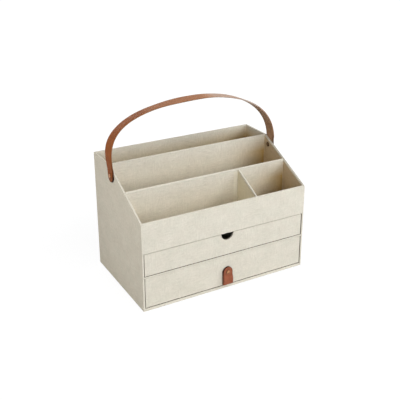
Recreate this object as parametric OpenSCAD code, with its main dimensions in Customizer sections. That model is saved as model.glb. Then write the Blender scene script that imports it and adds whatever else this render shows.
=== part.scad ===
// Desk file box: four open pockets stepped down a sloping top, over two drawers.
// It is fibreboard covered with linen-look paper, with a riveted leather strap to carry
// it by and a leather pull tab on the lower drawer.
// X runs to the right, Y to the back, Z up. The origin is under the middle of the box, on
// the surface that it stands on. The front of the box faces -Y.

/* [Box] */
// Width over the outer paper
body_w = 330; // [280:5:400]
// Depth over the outer paper
body_d = 200; // [185:5:260]
// Height of the level top at the back
body_h = 226.5; // [215:0.5:260]
// Height of the front edge, where the slope ends
front_h = 163.7; // [150:0.1:180]
// Depth of the level top, measured from the back
top_flat = 70.7; // [60:0.1:80]

/* [Boards and paper] */
// Fibreboard of the sides, back and fixed front
board_t = 2.6; // [2:0.1:4]
// Fibreboard under the whole box
base_t = 2; // [2:0.1:4]
// Fibreboard of the drawer floors and the pockets' floor
deck_t = 3; // [2:0.1:4]
// Dividers, with the paper that is folded over them
divider_t = 3; // [2:0.1:4]
// Fibreboard of the drawers' sides, backs and bottoms
drawer_board_t = 2.5; // [2:0.1:3.5]
// Covering and lining paper
paper_t = 0.4; // [0.3:0.1:0.6]
// How far the linings stop below the edges of the boards
lining_reveal = 3; // [1:0.5:8]
// How far the outer paper is turned under the base
turn_under = 12; // [6:1:20]

/* [Pockets] */
// Clear depth of the two front pockets
front_pocket_d = 61.9; // [45:0.1:75]
// Clear width of the right front pocket
right_pocket_w = 98.7; // [60:0.1:150]
// Width of the glued flanges on the paper beside the cross divider
flange_w = 8.5; // [5:0.5:15]

/* [Drawers] */
// Height of the lower drawer's bay
lower_bay_h = 57.7; // [45:0.1:62]
// Height of the upper drawer's bay
upper_bay_h = 43.4; // [36:0.1:48]
// Gap between a drawer and the left side of the box
left_gap = 1.2; // [0.5:0.1:3]
// Gap between a drawer and the right side of the box
right_gap = 2; // [0.5:0.1:3]
// Gap under a drawer
run_gap = 0.3; // [0.3:0.1:1]
// Gap over the upper drawer
upper_head_gap = 0.8; // [0.3:0.1:2]
// Gap over the lower drawer
lower_head_gap = 0.4; // [0.3:0.1:2]
// Gap behind a drawer
back_gap = 0.5; // [0.3:0.1:2]
// How much higher a drawer's front starts than its bottom
front_lift = 0.6; // [0.2:0.1:1.5]
// Radius of the finger notch in the upper drawer's front
notch_r = 12.5; // [8:0.5:16]

/* [Handle strap] */
// Width of the strap
strap_w = 23.5; // [15:0.5:28]
// Thickness of the leather
strap_t = 2.4; // [1.5:0.1:4]
// Height of the arch over the rivets, at the middle of the leather
strap_rise = 114.5; // [100:0.1:140]
// Lean of the arch to the back, in degrees
strap_lean = 4; // [0:0.1:10]
// Depth of the rivets below the level top
rivet_drop = 17; // [14:0.1:26]
// Distance of the rivets ahead of the rear divider
rivet_ahead = 12.1; // [7:0.1:20]
// How far to the right of the middle the arch is highest
crown_x = 12; // [0:0.5:30]
// Gap between the strap and the box, and between the strap and the rivet heads
strap_gap = 0.3; // [0.3:0.1:1]

/* [Rivets] */
// Radius of the rivet shanks
shank_r = 2; // [1.2:0.1:2.5]
// Clearance round a shank
shank_fit = 0.05; // [0.02:0.01:0.1]
// Radius of the handle rivets' heads
handle_head_r = 4.6; // [3.5:0.1:6]
// Radius of the pull rivet's heads
pull_head_r = 4; // [3.5:0.1:5.5]
// Height of a rivet head
head_h = 1.8; // [1.2:0.1:2.5]

/* [Pull tab] */
// Width of the tab
tab_w = 20; // [14:0.5:26]
// Thickness of one leaf of the folded leather
leaf_t = 1.5; // [1:0.1:2.2]
// Height of the rivet over the lower edge of the drawer's front
tab_rivet_up = 26.5; // [24:0.1:34]
// Length of the tab from the rivet to its fold
tab_l = 24.7; // [20:0.1:30]
// How far the front leaf stands off at the fold
tab_bow = 2.4; // [1.2:0.1:3.5]

/* [Hidden] */

paper = [0.87, 0.84, 0.78];
lining = [0.83, 0.79, 0.72];
fibreboard = [0.62, 0.54, 0.44];
leather = [0.62, 0.34, 0.19];
copper = [0.72, 0.43, 0.30];

round_fn = 64; // facets of rivets, bores and round ends
over = 1; // how far a cut runs past what it cuts

// Box faces: outside, under the outer paper, and inside the boards
out_x = body_w / 2;
out_y = body_d / 2;
core_x = out_x - paper_t;
core_y = out_y - paper_t;
in_x = core_x - board_t;
in_y = core_y - board_t;

// The slope, as a line in the side view
slope_start_y = out_y - top_flat;
slope_grade = (body_h - front_h) / (slope_start_y + out_y);
slope_stretch = sqrt(1 + slope_grade * slope_grade);

// Levels from the ground up
base_top = paper_t + base_t;
lower_floor_z = base_top + deck_t;
shelf_z = lower_floor_z + lower_bay_h;
upper_floor_z = shelf_z + deck_t;
pocket_floor_z = upper_floor_z + upper_bay_h;
pocket_z = pocket_floor_z + deck_t;

// Divider faces
rear_div_y = slope_start_y;
rear_pocket_y = rear_div_y + divider_t;
mid_div_y = -in_y + front_pocket_d;
mid_pocket_y = mid_div_y + divider_t;
cross_div_x = in_x - right_pocket_w - divider_t;
right_pocket_x = cross_div_x + divider_t;

// Drawers: outside of their paper, outside of their boards, inside of their boards
drawer_x = [-in_x + left_gap, in_x - right_gap];
drawer_core_x = drawer_x + [paper_t, -paper_t];
drawer_in_x = drawer_core_x + [drawer_board_t, -drawer_board_t];
drawer_y = in_y - back_gap;
drawer_core_y = drawer_y - paper_t;
drawer_in_y = drawer_core_y - drawer_board_t;
upper_z = [upper_floor_z + run_gap, pocket_floor_z - upper_head_gap];
lower_z = [lower_floor_z + run_gap, shelf_z - lower_head_gap];

// Handle: the rivets' axis, and the middle of the leather beside the box
rivet_y = slope_start_y - rivet_ahead;
rivet_z = body_h - rivet_drop;
strap_x = out_x + strap_gap + strap_t / 2;
strap_flat = 7; // straight stretch over each rivet
strap_bend = 10; // length of the bend that follows it
strap_flare = 11.3; // tilt of both legs after their bends, in degrees
left_pull = [-1.2, 36.4]; // the left leg's control point, from its rivet
left_crown_out = 25.8; // how far the crown's control point lies outside the left rivet
right_pull = [-1.5, 91]; // the right leg's control point, from its rivet
crown_len = 62; // the crown's control length to the right
leg_steps = 26;
bend_steps = 4;

// Pull tab: its rivet, on the lower drawer's front, and the shape of its fold
tab_rivet_z = lower_z[0] + front_lift + tab_rivet_up;
tab_back_y = -out_y - strap_gap;
tab_fold_t = 2 * leaf_t + tab_bow; // thickness of the loop where it stands off most
tab_belly = 0.72 * tab_l; // how far under the rivet it stands off most
tab_part = pull_head_r + leaf_t; // where the leaves part, under the rivet
tab_slit = 1; // how much further down the hollow starts, where it is narrow
fold_steps = 8;

// Rivets: shank_tip is clear ahead of a shank inside its cap
shank_tip = 0.2;
cap_bore = 1.1; // depth of the bore in a rivet's cap
head_rim = 0.5; // straight rim under a head's dome
wall_grip = paper_t + board_t + paper_t;
handle_grip = 2 * strap_gap + strap_t + wall_grip;
pull_grip = 2 * strap_gap + 2 * leaf_t + wall_grip;

function edge_z(y, inset = 0) =
  min(body_h - inset, front_h + slope_grade * (y + out_y) - inset * slope_stretch);

// Side view of the box, every edge moved in by inset
function side_outline(inset) =
  let (
    top_z = body_h - inset,
    bend_y = -out_y + (top_z + inset * slope_stretch - front_h) / slope_grade
  )
  [
    [-out_y + inset, inset],
    [out_y - inset, inset],
    [out_y - inset, top_z],
    [bend_y, top_z],
    [-out_y + inset, edge_z(-out_y + inset, inset)],
  ];

// Points of a cubic curve, both ends included
function cubic(a, b, c, d, steps) = [
  for (i = [0:steps])
    let (t = i / steps, s = 1 - t)
      s * s * s * a + 3 * s * s * t * b + 3 * s * t * t * c + t * t * t * d
];

// Points of a quadratic curve, both ends included
function quadratic(a, b, c, steps) = [
  for (i = [0:steps])
    let (t = i / steps, s = 1 - t)
      s * s * a + 2 * s * t * b + t * t * c
];

// Same points without the first, to join curves end to end
function tail(points) = [for (i = [1:len(points) - 1]) points[i]];

// Direction of a line of points at point i
function heading(points, i) =
  let (
    last = len(points) - 1,
    step = points[min(i + 1, last)] - points[max(i - 1, 0)]
  )
  step / norm(step);

// A line of points moved sideways by a distance
function beside(points, distance) = [
  for (i = [0:len(points) - 1])
    let (h = heading(points, i))
      points[i] + distance * [-h[1], h[0]]
];

function reverse(points) = [for (i = [len(points) - 1:-1:0]) points[i]];

module block(x0, x1, y0, y1, z0, z1)
  translate([x0, y0, z0])
    cube([x1 - x0, y1 - y0, z1 - z0]);

// The box's side view, moved in by inset and drawn out from x0 to x1
module wedge(inset, x0, x1)
  translate([x0, 0, 0])
    rotate([90, 0, 90])
      linear_extrude(x1 - x0)
        polygon(side_outline(inset));

// A block that is cut off along the top of the side view, or a drop below it
module under_slope(x0, x1, y0, y1, z0, drop = 0)
  intersection() {
    block(x0, x1, y0, y1, z0, body_h + over);
    translate([0, 0, -drop])
      wedge(0, x0, x1);
  }

module handle_rivet_bores()
  translate([-out_x - over, rivet_y, rivet_z])
    rotate([0, 90, 0])
      cylinder(r = shank_r + shank_fit, h = body_w + 2 * over, $fn = round_fn);

// ---- Carcass boards ----

module side_board(x0)
  color(fibreboard)
    difference() {
      wedge(paper_t, x0, x0 + board_t);
      handle_rivet_bores();
    }

module left_side_board() side_board(-core_x);

module right_side_board() side_board(in_x);

module back_board()
  color(fibreboard)
    block(-in_x, in_x, in_y, core_y, paper_t, body_h - paper_t);

module front_board()
  color(fibreboard)
    intersection() {
      block(-in_x, in_x, -core_y, -in_y, pocket_floor_z, body_h);
      wedge(paper_t, -in_x, in_x);
    }

module base_board()
  color(fibreboard)
    block(-in_x, in_x, -core_y, in_y, paper_t, base_top);

module lower_bay_floor()
  color(fibreboard)
    block(-in_x, in_x, -core_y, in_y, base_top, lower_floor_z);

module drawer_shelf()
  color(fibreboard)
    block(-in_x, in_x, -core_y, in_y, shelf_z, upper_floor_z);

module pocket_floor()
  color(fibreboard)
    block(-in_x, in_x, -in_y, in_y, pocket_floor_z, pocket_z);

// ---- Dividers ----

module rear_divider()
  color(paper)
    under_slope(-in_x, in_x, rear_div_y, rear_pocket_y, pocket_z);

module middle_divider()
  color(paper)
    under_slope(-in_x, in_x, mid_div_y, mid_pocket_y, pocket_z);

module cross_divider()
  color(paper)
    under_slope(cross_div_x, right_pocket_x, -in_y, mid_div_y, pocket_z);

// Paper that faces the cross divider's left side, its flanges glued round both corners
module cross_divider_facing()
  color(paper)
    difference() {
      under_slope(
        cross_div_x - paper_t - flange_w, cross_div_x - paper_t,
        -in_y + paper_t, mid_div_y - paper_t,
        pocket_z + paper_t, lining_reveal
      );
      block(
        cross_div_x - paper_t - flange_w - over, cross_div_x - 2 * paper_t,
        -in_y + 2 * paper_t, mid_div_y - 2 * paper_t,
        pocket_z, body_h + over
      );
    }

// ---- Covering paper and linings of the carcass ----

// One skin over the outside. It is turned over the top edges, round the two drawer bays
// and under the base.
module outer_paper()
  color(paper)
    difference() {
      wedge(0, -out_x, out_x);
      wedge(paper_t, -core_x, core_x);
      block(-in_x, in_x, -in_y, in_y, pocket_z, body_h + over);
      block(-in_x, in_x, -out_y - over, -in_y, upper_floor_z, pocket_floor_z);
      block(-in_x, in_x, -out_y - over, -in_y, lower_floor_z, shelf_z);
      block(
        -out_x + turn_under, out_x - turn_under,
        -out_y + turn_under, out_y - turn_under, -over, base_top
      );
      handle_rivet_bores();
    }

module base_paper()
  color(lining)
    block(
      -out_x + turn_under, out_x - turn_under,
      -out_y + turn_under, out_y - turn_under, 0, paper_t
    );

// Open tray of paper that lines the pocket between four faces
module pocket_lining(x0, x1, y0, y1)
  difference() {
    under_slope(x0, x1, y0, y1, pocket_z, lining_reveal);
    block(
      x0 + paper_t, x1 - paper_t, y0 + paper_t, y1 - paper_t,
      pocket_z + paper_t, body_h + over
    );
  }

module rear_pocket_lining()
  color(lining)
    pocket_lining(-in_x, in_x, rear_pocket_y, in_y);

module middle_pocket_lining()
  color(lining)
    difference() {
      pocket_lining(-in_x, in_x, mid_pocket_y, rear_div_y);
      handle_rivet_bores();
    }

module left_pocket_lining()
  color(lining)
    pocket_lining(-in_x, cross_div_x, -in_y, mid_div_y);

module right_pocket_lining()
  color(lining)
    pocket_lining(right_pocket_x, in_x, -in_y, mid_div_y);

// ---- Rivets ----

// Low dome on a short rim, its flat side on z = 0
module rivet_head(head_r) {
  dome_h = head_h - head_rim;
  dome_r = (head_r * head_r + dome_h * dome_h) / (2 * dome_h);
  cylinder(r = head_r, h = head_rim, $fn = round_fn);
  intersection() {
    translate([0, 0, head_h - dome_r])
      sphere(r = dome_r, $fn = round_fn);
    translate([0, 0, head_rim])
      cylinder(r = head_r, h = dome_h, $fn = round_fn);
  }
}

// Head with its shank, which reaches down from the head through everything it holds
module rivet(head_r, grip) {
  rivet_head(head_r);
  translate([0, 0, -grip - cap_bore + shank_tip])
    cylinder(r = shank_r, h = grip + cap_bore - shank_tip, $fn = round_fn);
}

// Cap that the shank is closed in, its flat side on z = 0
module rivet_cap(head_r)
  difference() {
    rivet_head(head_r);
    translate([0, 0, -over])
      cylinder(r = shank_r + shank_fit, h = cap_bore + over, $fn = round_fn);
  }

// Places its child on the left and right rivet axes, at x from the middle, facing outwards
module both_sides(x)
  for (side = [-1, 1])
    translate([side * x, rivet_y, rivet_z])
      rotate([0, side * 90, 0])
        children();

module handle_rivets()
  color(copper)
    both_sides(out_x + 2 * strap_gap + strap_t)
      rivet(handle_head_r, handle_grip);

module handle_rivet_caps()
  color(copper)
    both_sides(in_x - paper_t)
      rotate([180, 0, 0])
        rivet_cap(handle_head_r);

// ---- Handle strap ----

// Middle of the leather, from the left rivet over the crown to the right rivet
function strap_line() =
  let (
    left_foot = [-strap_x, 0],
    left_knee = left_foot + [0, strap_flat + strap_bend / 2],
    left_leg = left_knee + strap_bend / 2 * [-sin(strap_flare), cos(strap_flare)],
    right_foot = [strap_x, 0],
    right_knee = right_foot + [0, strap_flat + strap_bend / 2],
    right_leg = right_knee + strap_bend / 2 * [sin(strap_flare), cos(strap_flare)],
    crown = [crown_x, strap_rise]
  )
  concat(
    [left_foot, left_foot + [0, strap_flat / 2]],
    quadratic(left_foot + [0, strap_flat], left_knee, left_leg, bend_steps),
    tail(cubic(
      left_leg,
      left_foot + left_pull,
      [-strap_x - left_crown_out, strap_rise],
      crown, leg_steps
    )),
    tail(cubic(
      crown,
      crown + [crown_len, 0],
      right_foot + right_pull,
      right_leg, leg_steps
    )),
    tail(quadratic(right_leg, right_knee, right_foot + [0, strap_flat], bend_steps)),
    [right_foot + [0, strap_flat / 2], right_foot]
  );

// Half-round end of the strap, under the rivet on the side given by -1 or 1
module strap_end(side)
  translate([side * strap_x, 0, 0])
    intersection() {
      rotate([0, 90, 0])
        cylinder(r = strap_w / 2, h = strap_t, center = true, $fn = round_fn);
      block(-strap_t, strap_t, -strap_w, strap_w, -strap_w, 0);
    }

module handle_strap()
  color(leather)
    translate([0, rivet_y, rivet_z])
      rotate([-strap_lean, 0, 0])
        difference() {
          union() {
            rotate([90, 0, 0])
              linear_extrude(strap_w, center = true)
                polygon(concat(
                  beside(strap_line(), strap_t / 2),
                  reverse(beside(strap_line(), -strap_t / 2))
                ));
            strap_end(-1);
            strap_end(1);
          }
          rotate([0, 90, 0])
            cylinder(
              r = shank_r + shank_fit, h = 2 * (strap_x + strap_t),
              center = true, $fn = round_fn
            );
        }

// ---- Drawers ----

module drawer_front(z)
  block(
    drawer_core_x[0], drawer_core_x[1], -core_y, -in_y,
    z[0] + front_lift + paper_t, z[1] - paper_t
  );

module drawer_side(z, x0)
  color(fibreboard)
    block(
      x0, x0 + drawer_board_t, -in_y, drawer_core_y,
      z[0] + paper_t + drawer_board_t, z[1] - paper_t
    );

module drawer_back(z)
  color(fibreboard)
    block(
      drawer_in_x[0], drawer_in_x[1], drawer_in_y, drawer_core_y,
      z[0] + paper_t + drawer_board_t, z[1] - paper_t
    );

module drawer_bottom(z)
  color(fibreboard)
    block(
      drawer_core_x[0], drawer_core_x[1], -in_y, drawer_core_y,
      z[0] + paper_t, z[0] + paper_t + drawer_board_t
    );

// One skin over a drawer's outside, turned over its top edges
module drawer_paper(z)
  difference() {
    union() {
      block(drawer_x[0], drawer_x[1], -in_y - paper_t, drawer_y, z[0], z[1]);
      block(drawer_x[0], drawer_x[1], -out_y, -in_y, z[0] + front_lift, z[1]);
    }
    block(
      drawer_core_x[0], drawer_core_x[1], -in_y, drawer_core_y,
      z[0] + paper_t, z[1] - paper_t
    );
    block(
      drawer_core_x[0], drawer_core_x[1], -core_y, -in_y,
      z[0] + front_lift + paper_t, z[1] - paper_t
    );
    block(
      drawer_in_x[0], drawer_in_x[1], -in_y, drawer_in_y,
      z[0] + paper_t + drawer_board_t, z[1] + over
    );
  }

module drawer_lining(z)
  difference() {
    block(
      drawer_in_x[0], drawer_in_x[1], -in_y, drawer_in_y,
      z[0] + paper_t + drawer_board_t, z[1] - lining_reveal
    );
    block(
      drawer_in_x[0] + paper_t, drawer_in_x[1] - paper_t,
      -in_y + paper_t, drawer_in_y - paper_t,
      z[0] + 2 * paper_t + drawer_board_t, z[1]
    );
  }

// Half-round finger notch at the top edge of the upper drawer's front
module finger_notch()
  translate([0, -out_y - over, upper_z[1]])
    rotate([-90, 0, 0])
      cylinder(r = notch_r, h = out_y - in_y + paper_t + 2 * over, $fn = round_fn);

module pull_rivet_bore()
  translate([0, -out_y - tab_fold_t - over, tab_rivet_z])
    rotate([-90, 0, 0])
      cylinder(
        r = shank_r + shank_fit, h = tab_fold_t + out_y - in_y + paper_t + 2 * over,
        $fn = round_fn
      );

module upper_drawer_front()
  color(fibreboard)
    difference() {
      drawer_front(upper_z);
      finger_notch();
    }

module upper_drawer_left() drawer_side(upper_z, drawer_core_x[0]);

module upper_drawer_right() drawer_side(upper_z, drawer_in_x[1]);

module upper_drawer_back() drawer_back(upper_z);

module upper_drawer_bottom() drawer_bottom(upper_z);

module upper_drawer_paper()
  color(paper)
    difference() {
      drawer_paper(upper_z);
      finger_notch();
    }

module upper_drawer_lining()
  color(lining)
    difference() {
      drawer_lining(upper_z);
      finger_notch();
    }

module lower_drawer_front()
  color(fibreboard)
    difference() {
      drawer_front(lower_z);
      pull_rivet_bore();
    }

module lower_drawer_left() drawer_side(lower_z, drawer_core_x[0]);

module lower_drawer_right() drawer_side(lower_z, drawer_in_x[1]);

module lower_drawer_back() drawer_back(lower_z);

module lower_drawer_bottom() drawer_bottom(lower_z);

module lower_drawer_paper()
  color(paper)
    difference() {
      drawer_paper(lower_z);
      pull_rivet_bore();
    }

module lower_drawer_lining()
  color(lining)
    difference() {
      drawer_lining(lower_z);
      pull_rivet_bore();
    }

// ---- Pull tab ----

module pull_rivet()
  color(copper)
    translate([0, -out_y - 2 * strap_gap - 2 * leaf_t, tab_rivet_z])
      rotate([90, 0, 0])
        rivet(pull_head_r, pull_grip);

module pull_rivet_cap()
  color(copper)
    translate([0, -in_y + paper_t, tab_rivet_z])
      rotate([-90, 0, 0])
        rivet_cap(pull_head_r);

// Side view of the folded leather: u runs out from the drawer, v up from the rivet.
// The leaves lie together as far as the rivet's head and part below it, round the fold.
function tab_side() =
  let (
    top = tab_w / 2,
    thick = 2 * leaf_t,
    fold = [tab_fold_t / 2, -tab_l]
  )
  concat(
    [[0, top], [0, -tab_belly]],
    tail(cubic([0, -tab_belly], [0, -tab_l], [0, -tab_l], fold, fold_steps)),
    tail(cubic(
      fold, [tab_fold_t, -tab_l], [tab_fold_t, -tab_l],
      [tab_fold_t, -tab_belly], fold_steps
    )),
    tail(cubic(
      [tab_fold_t, -tab_belly], [tab_fold_t, -tab_belly / 2], [thick, -tab_belly / 2],
      [thick, -tab_part], fold_steps
    )),
    [[thick, top]]
  );

// The hollow inside the fold
function tab_hollow() =
  let (
    near = leaf_t,
    far = tab_fold_t - leaf_t,
    low = -tab_l + leaf_t,
    slit = [near, -tab_part - tab_slit],
    fold = [(near + far) / 2, low]
  )
  concat(
    [slit, [near, -tab_belly]],
    tail(cubic([near, -tab_belly], [near, low], [near, low], fold, fold_steps)),
    tail(cubic(fold, [far, low], [far, low], [far, -tab_belly], fold_steps)),
    tail(cubic(
      [far, -tab_belly], [far, -tab_belly / 2], [near, -tab_belly / 2], slit, fold_steps
    ))
  );

// Draws a side view of the tab out across its width, in its place on the drawer
module across_tab(width)
  translate([0, tab_back_y, tab_rivet_z])
    rotate([90, 0, -90])
      linear_extrude(width, center = true)
        children();

module pull_tab()
  color(leather)
    difference() {
      intersection() {
        across_tab(tab_w)
          polygon(tab_side());
        union() {
          translate([0, -out_y + over, tab_rivet_z])
            rotate([90, 0, 0])
              cylinder(r = tab_w / 2, h = tab_fold_t + 2 * over, $fn = round_fn);
          block(
            -tab_w / 2, tab_w / 2, -out_y - tab_fold_t - over, -out_y + over,
            tab_rivet_z - tab_l - over, tab_rivet_z
          );
        }
      }
      across_tab(tab_w + 2 * over)
        polygon(tab_hollow());
      pull_rivet_bore();
    }

left_side_board();
right_side_board();
back_board();
front_board();
base_board();
lower_bay_floor();
drawer_shelf();
pocket_floor();
rear_divider();
middle_divider();
cross_divider();
cross_divider_facing();
outer_paper();
base_paper();
rear_pocket_lining();
middle_pocket_lining();
left_pocket_lining();
right_pocket_lining();
handle_rivets();
handle_rivet_caps();
handle_strap();
upper_drawer_front();
upper_drawer_left();
upper_drawer_right();
upper_drawer_back();
upper_drawer_bottom();
upper_drawer_paper();
upper_drawer_lining();
lower_drawer_front();
lower_drawer_left();
lower_drawer_right();
lower_drawer_back();
lower_drawer_bottom();
lower_drawer_paper();
lower_drawer_lining();
pull_rivet();
pull_rivet_cap();
pull_tab();
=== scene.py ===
import math

import bmesh
import bpy
from mathutils import Matrix, Vector


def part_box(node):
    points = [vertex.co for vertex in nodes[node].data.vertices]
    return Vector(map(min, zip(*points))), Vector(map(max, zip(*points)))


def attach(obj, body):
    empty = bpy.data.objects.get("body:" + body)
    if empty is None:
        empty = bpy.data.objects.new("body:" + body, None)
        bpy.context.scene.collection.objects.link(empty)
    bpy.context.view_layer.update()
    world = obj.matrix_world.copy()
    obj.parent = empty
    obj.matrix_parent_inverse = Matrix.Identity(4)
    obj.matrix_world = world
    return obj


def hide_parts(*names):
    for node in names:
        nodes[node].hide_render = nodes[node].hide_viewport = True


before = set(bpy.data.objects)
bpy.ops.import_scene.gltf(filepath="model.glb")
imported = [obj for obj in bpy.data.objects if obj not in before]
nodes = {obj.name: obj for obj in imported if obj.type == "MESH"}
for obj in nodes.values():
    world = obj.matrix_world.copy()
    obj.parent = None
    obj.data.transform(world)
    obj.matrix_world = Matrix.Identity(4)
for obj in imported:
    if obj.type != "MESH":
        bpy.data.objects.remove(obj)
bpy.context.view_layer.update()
print("frame loaded:", len(nodes), "nodes")

mm = 0.001


# One side of a CAD node's box: every piece is written in the CAD's millimetres
def cadSide(node, axis, high):
    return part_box(node)[high][axis] / mm


box = {
    "outX": cadSide("outer_paper", 0, 1),
    "outY": cadSide("outer_paper", 1, 1),
    "inX": cadSide("right_side_board", 0, 0),
    "inY": cadSide("back_board", 1, 0),
    "top": cadSide("outer_paper", 2, 1),
    "frontTop": 163.7,
    "slopeEnd": cadSide("rear_divider", 1, 0),  # where the sides turn level
    "lowerFloor": cadSide("lower_bay_floor", 2, 1),
    "shelf": cadSide("drawer_shelf", 2, 0),
    "upperFloor": cadSide("drawer_shelf", 2, 1),
    "pocketFloor": cadSide("pocket_floor", 2, 0),
    "pocket": cadSide("pocket_floor", 2, 1),
    "paper": 0.4,  # thickness of a covering sheet
    "reveal": 3.0,  # how far a lining ends below its board's top
}
grade = (box["top"] - box["frontTop"]) / (box["slopeEnd"] + box["outY"])


def edgeZ(y, drop=0.0):
    return min(box["top"], box["frontTop"] + grade * (y + box["outY"])) - drop


class Wire:
    # One socket of a material, for plain arithmetic
    def __init__(self, shade, socket):
        self.shade = shade
        self.socket = socket

    def math(self, operation, *others):
        return self.shade.node("ShaderNodeMath", {"operation": operation}, (self, *others))

    def flipped(self, operation, other):
        return self.shade.node("ShaderNodeMath", {"operation": operation}, (other, self))

    def __add__(self, other):
        return self.math("ADD", other)

    def __sub__(self, other):
        return self.math("SUBTRACT", other)

    def __mul__(self, other):
        return self.math("MULTIPLY", other)

    def __pow__(self, other):
        return self.math("POWER", other)

    def __rsub__(self, other):
        return self.flipped("SUBTRACT", other)

    def __rpow__(self, other):
        return self.flipped("POWER", other)

    __radd__ = __add__
    __rmul__ = __mul__


class Shade:
    # A material or a world being built
    def __init__(self, owner):
        owner.use_nodes = True
        self.owner = owner
        self.tree = owner.node_tree
        self.tree.nodes.clear()

    def node(self, kind, settings=None, inputs=(), output=0):
        made = self.tree.nodes.new(kind)
        for key, value in (settings or {}).items():
            setattr(made, key, value)
        pairs = inputs.items() if isinstance(inputs, dict) else enumerate(inputs)
        for key, value in pairs:
            self.plug(made.inputs[key], value)
        return Wire(self, made.outputs[output]) if len(made.outputs) else None

    def plug(self, socket, value):
        if isinstance(value, Wire):
            self.tree.links.new(value.socket, socket)
            return
        if socket.type == "RGBA" and len(value) == 3:
            value = (*value, 1.0)
        socket.default_value = value

    def scaled(self, vector, factors):
        return self.node("ShaderNodeVectorMath", {"operation": "MULTIPLY"}, (vector, factors))

    def shifted(self, vector, step):
        return self.node("ShaderNodeVectorMath", {"operation": "ADD"}, (vector, step))

    def inMillimetres(self, vector):
        return self.scaled(vector, (1 / mm, 1 / mm, 1 / mm))

    def place(self):
        return self.node("ShaderNodeTexCoord", output="Object")

    def axes(self, vector):
        outlets = self.node("ShaderNodeSeparateXYZ", None, (vector,)).socket.node.outputs
        return [Wire(self, outlet) for outlet in outlets]

    # A number that the mesh carries at its vertices
    def layer(self, name):
        return self.node("ShaderNodeAttribute", {"attribute_name": name}, output="Fac")

    def noise(self, vector, scale, detail=2.0, rough=0.5, distortion=0.0):
        return self.node("ShaderNodeTexNoise", None, {
            "Vector": vector, "Scale": scale, "Detail": detail,
            "Roughness": rough, "Distortion": distortion,
        })

    def ramp(self, value, low, high, outLow=0.0, outHigh=1.0):
        return self.node("ShaderNodeMapRange", {"clamp": True}, {
            "Value": value, "From Min": low, "From Max": high,
            "To Min": outLow, "To Max": outHigh,
        })

    def blend(self, factor, first, second, mode="MIX"):
        settings = {"data_type": "RGBA", "blend_type": mode}
        return self.node("ShaderNodeMix", settings, {0: factor, 6: first, 7: second}, 2)

    def bump(self, height, strength, distance):
        return self.node("ShaderNodeBump", None, {
            "Height": height, "Strength": strength, "Distance": distance,
        })

    def finish(self, inputs):
        return self.show(self.node("ShaderNodeBsdfPrincipled", None, inputs))

    def show(self, surface, kind="ShaderNodeOutputMaterial"):
        self.node(kind, None, {"Surface": surface})
        return self.owner


# Painted shade on the papers of the open pockets, in metres: darker and yellower with depth, more
# so towards the right and the rear, and brown low in the right corners
pocketShade = {
    "shallow": 0.004, "deep": 0.038, "left": -0.10, "right": 0.10, "leftShare": 0.6,
    "dividers": 0.06, "rear": 0.09, "frontShare": 0.25, "floorEdge": 0.002,
    "cornerFrom": 0.07, "cornerTo": 0.162, "cornerPower": 1.5,
    "brownFrom": -0.012, "brownDeep": 0.032, "brownPower": 1.6,
}


# Shares of painted shade: yellow with depth, brown in the right corners, dark on left-facing walls
def pocketShadeShares(shade, look):
    x, y, z = shade.axes(shade.place())
    slope = (y + box["outY"] * mm) * grade + box["frontTop"] * mm
    depth = slope.math("MINIMUM", box["top"] * mm) - z
    floor = box["pocket"] * mm
    pockets = shade.ramp(z, floor - pocketShade["floorEdge"], floor)
    right = shade.ramp(x, pocketShade["left"], pocketShade["right"], pocketShade["leftShare"], 1.0)
    rear = shade.ramp(y, pocketShade["dividers"], pocketShade["rear"], pocketShade["frontShare"], 1.0)
    yellowShade = shade.ramp(depth, pocketShade["shallow"], pocketShade["deep"]) * right * rear
    corner = shade.ramp(x, pocketShade["cornerFrom"], pocketShade["cornerTo"]) ** pocketShade["cornerPower"]
    low = shade.ramp(depth, pocketShade["brownFrom"], pocketShade["brownDeep"]) ** pocketShade["brownPower"]
    # Side walls that face left, which take painted shade
    wallShade = shade.ramp(x, *look["wallX"]) * shade.ramp(y, *look["wallY"])
    return yellowShade * pockets, low * corner * (1 - wallShade) * pockets, wallShade * pockets


# What all papers share: where each layer starts in the noise, in mm, so that no two are alike,
# the fine threads' pitch, the size of the patches, and the depth of the weave in metres
weave = {
    "warpAt": (37.0, 11.0, 0.0), "weftAt": (5.0, 91.0, 0.0), "fineWarpAt": (71.0, 3.0, 0.0),
    "fineWeftAt": (19.0, 53.0, 0.0), "cloudAt": (210.0, 40.0, 0.0), "patchAt": (90.0, 300.0, 0.0),
    "coolAt": (400.0, 7.0, 0.0), "fineAcross": 1.5, "fineAlong": 0.09, "patchScale": 0.03,
    "coolScale": 0.045, "depth": 0.00015, "shine": 0.15, "smooth": 0.84, "rough": 0.95,
}


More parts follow.
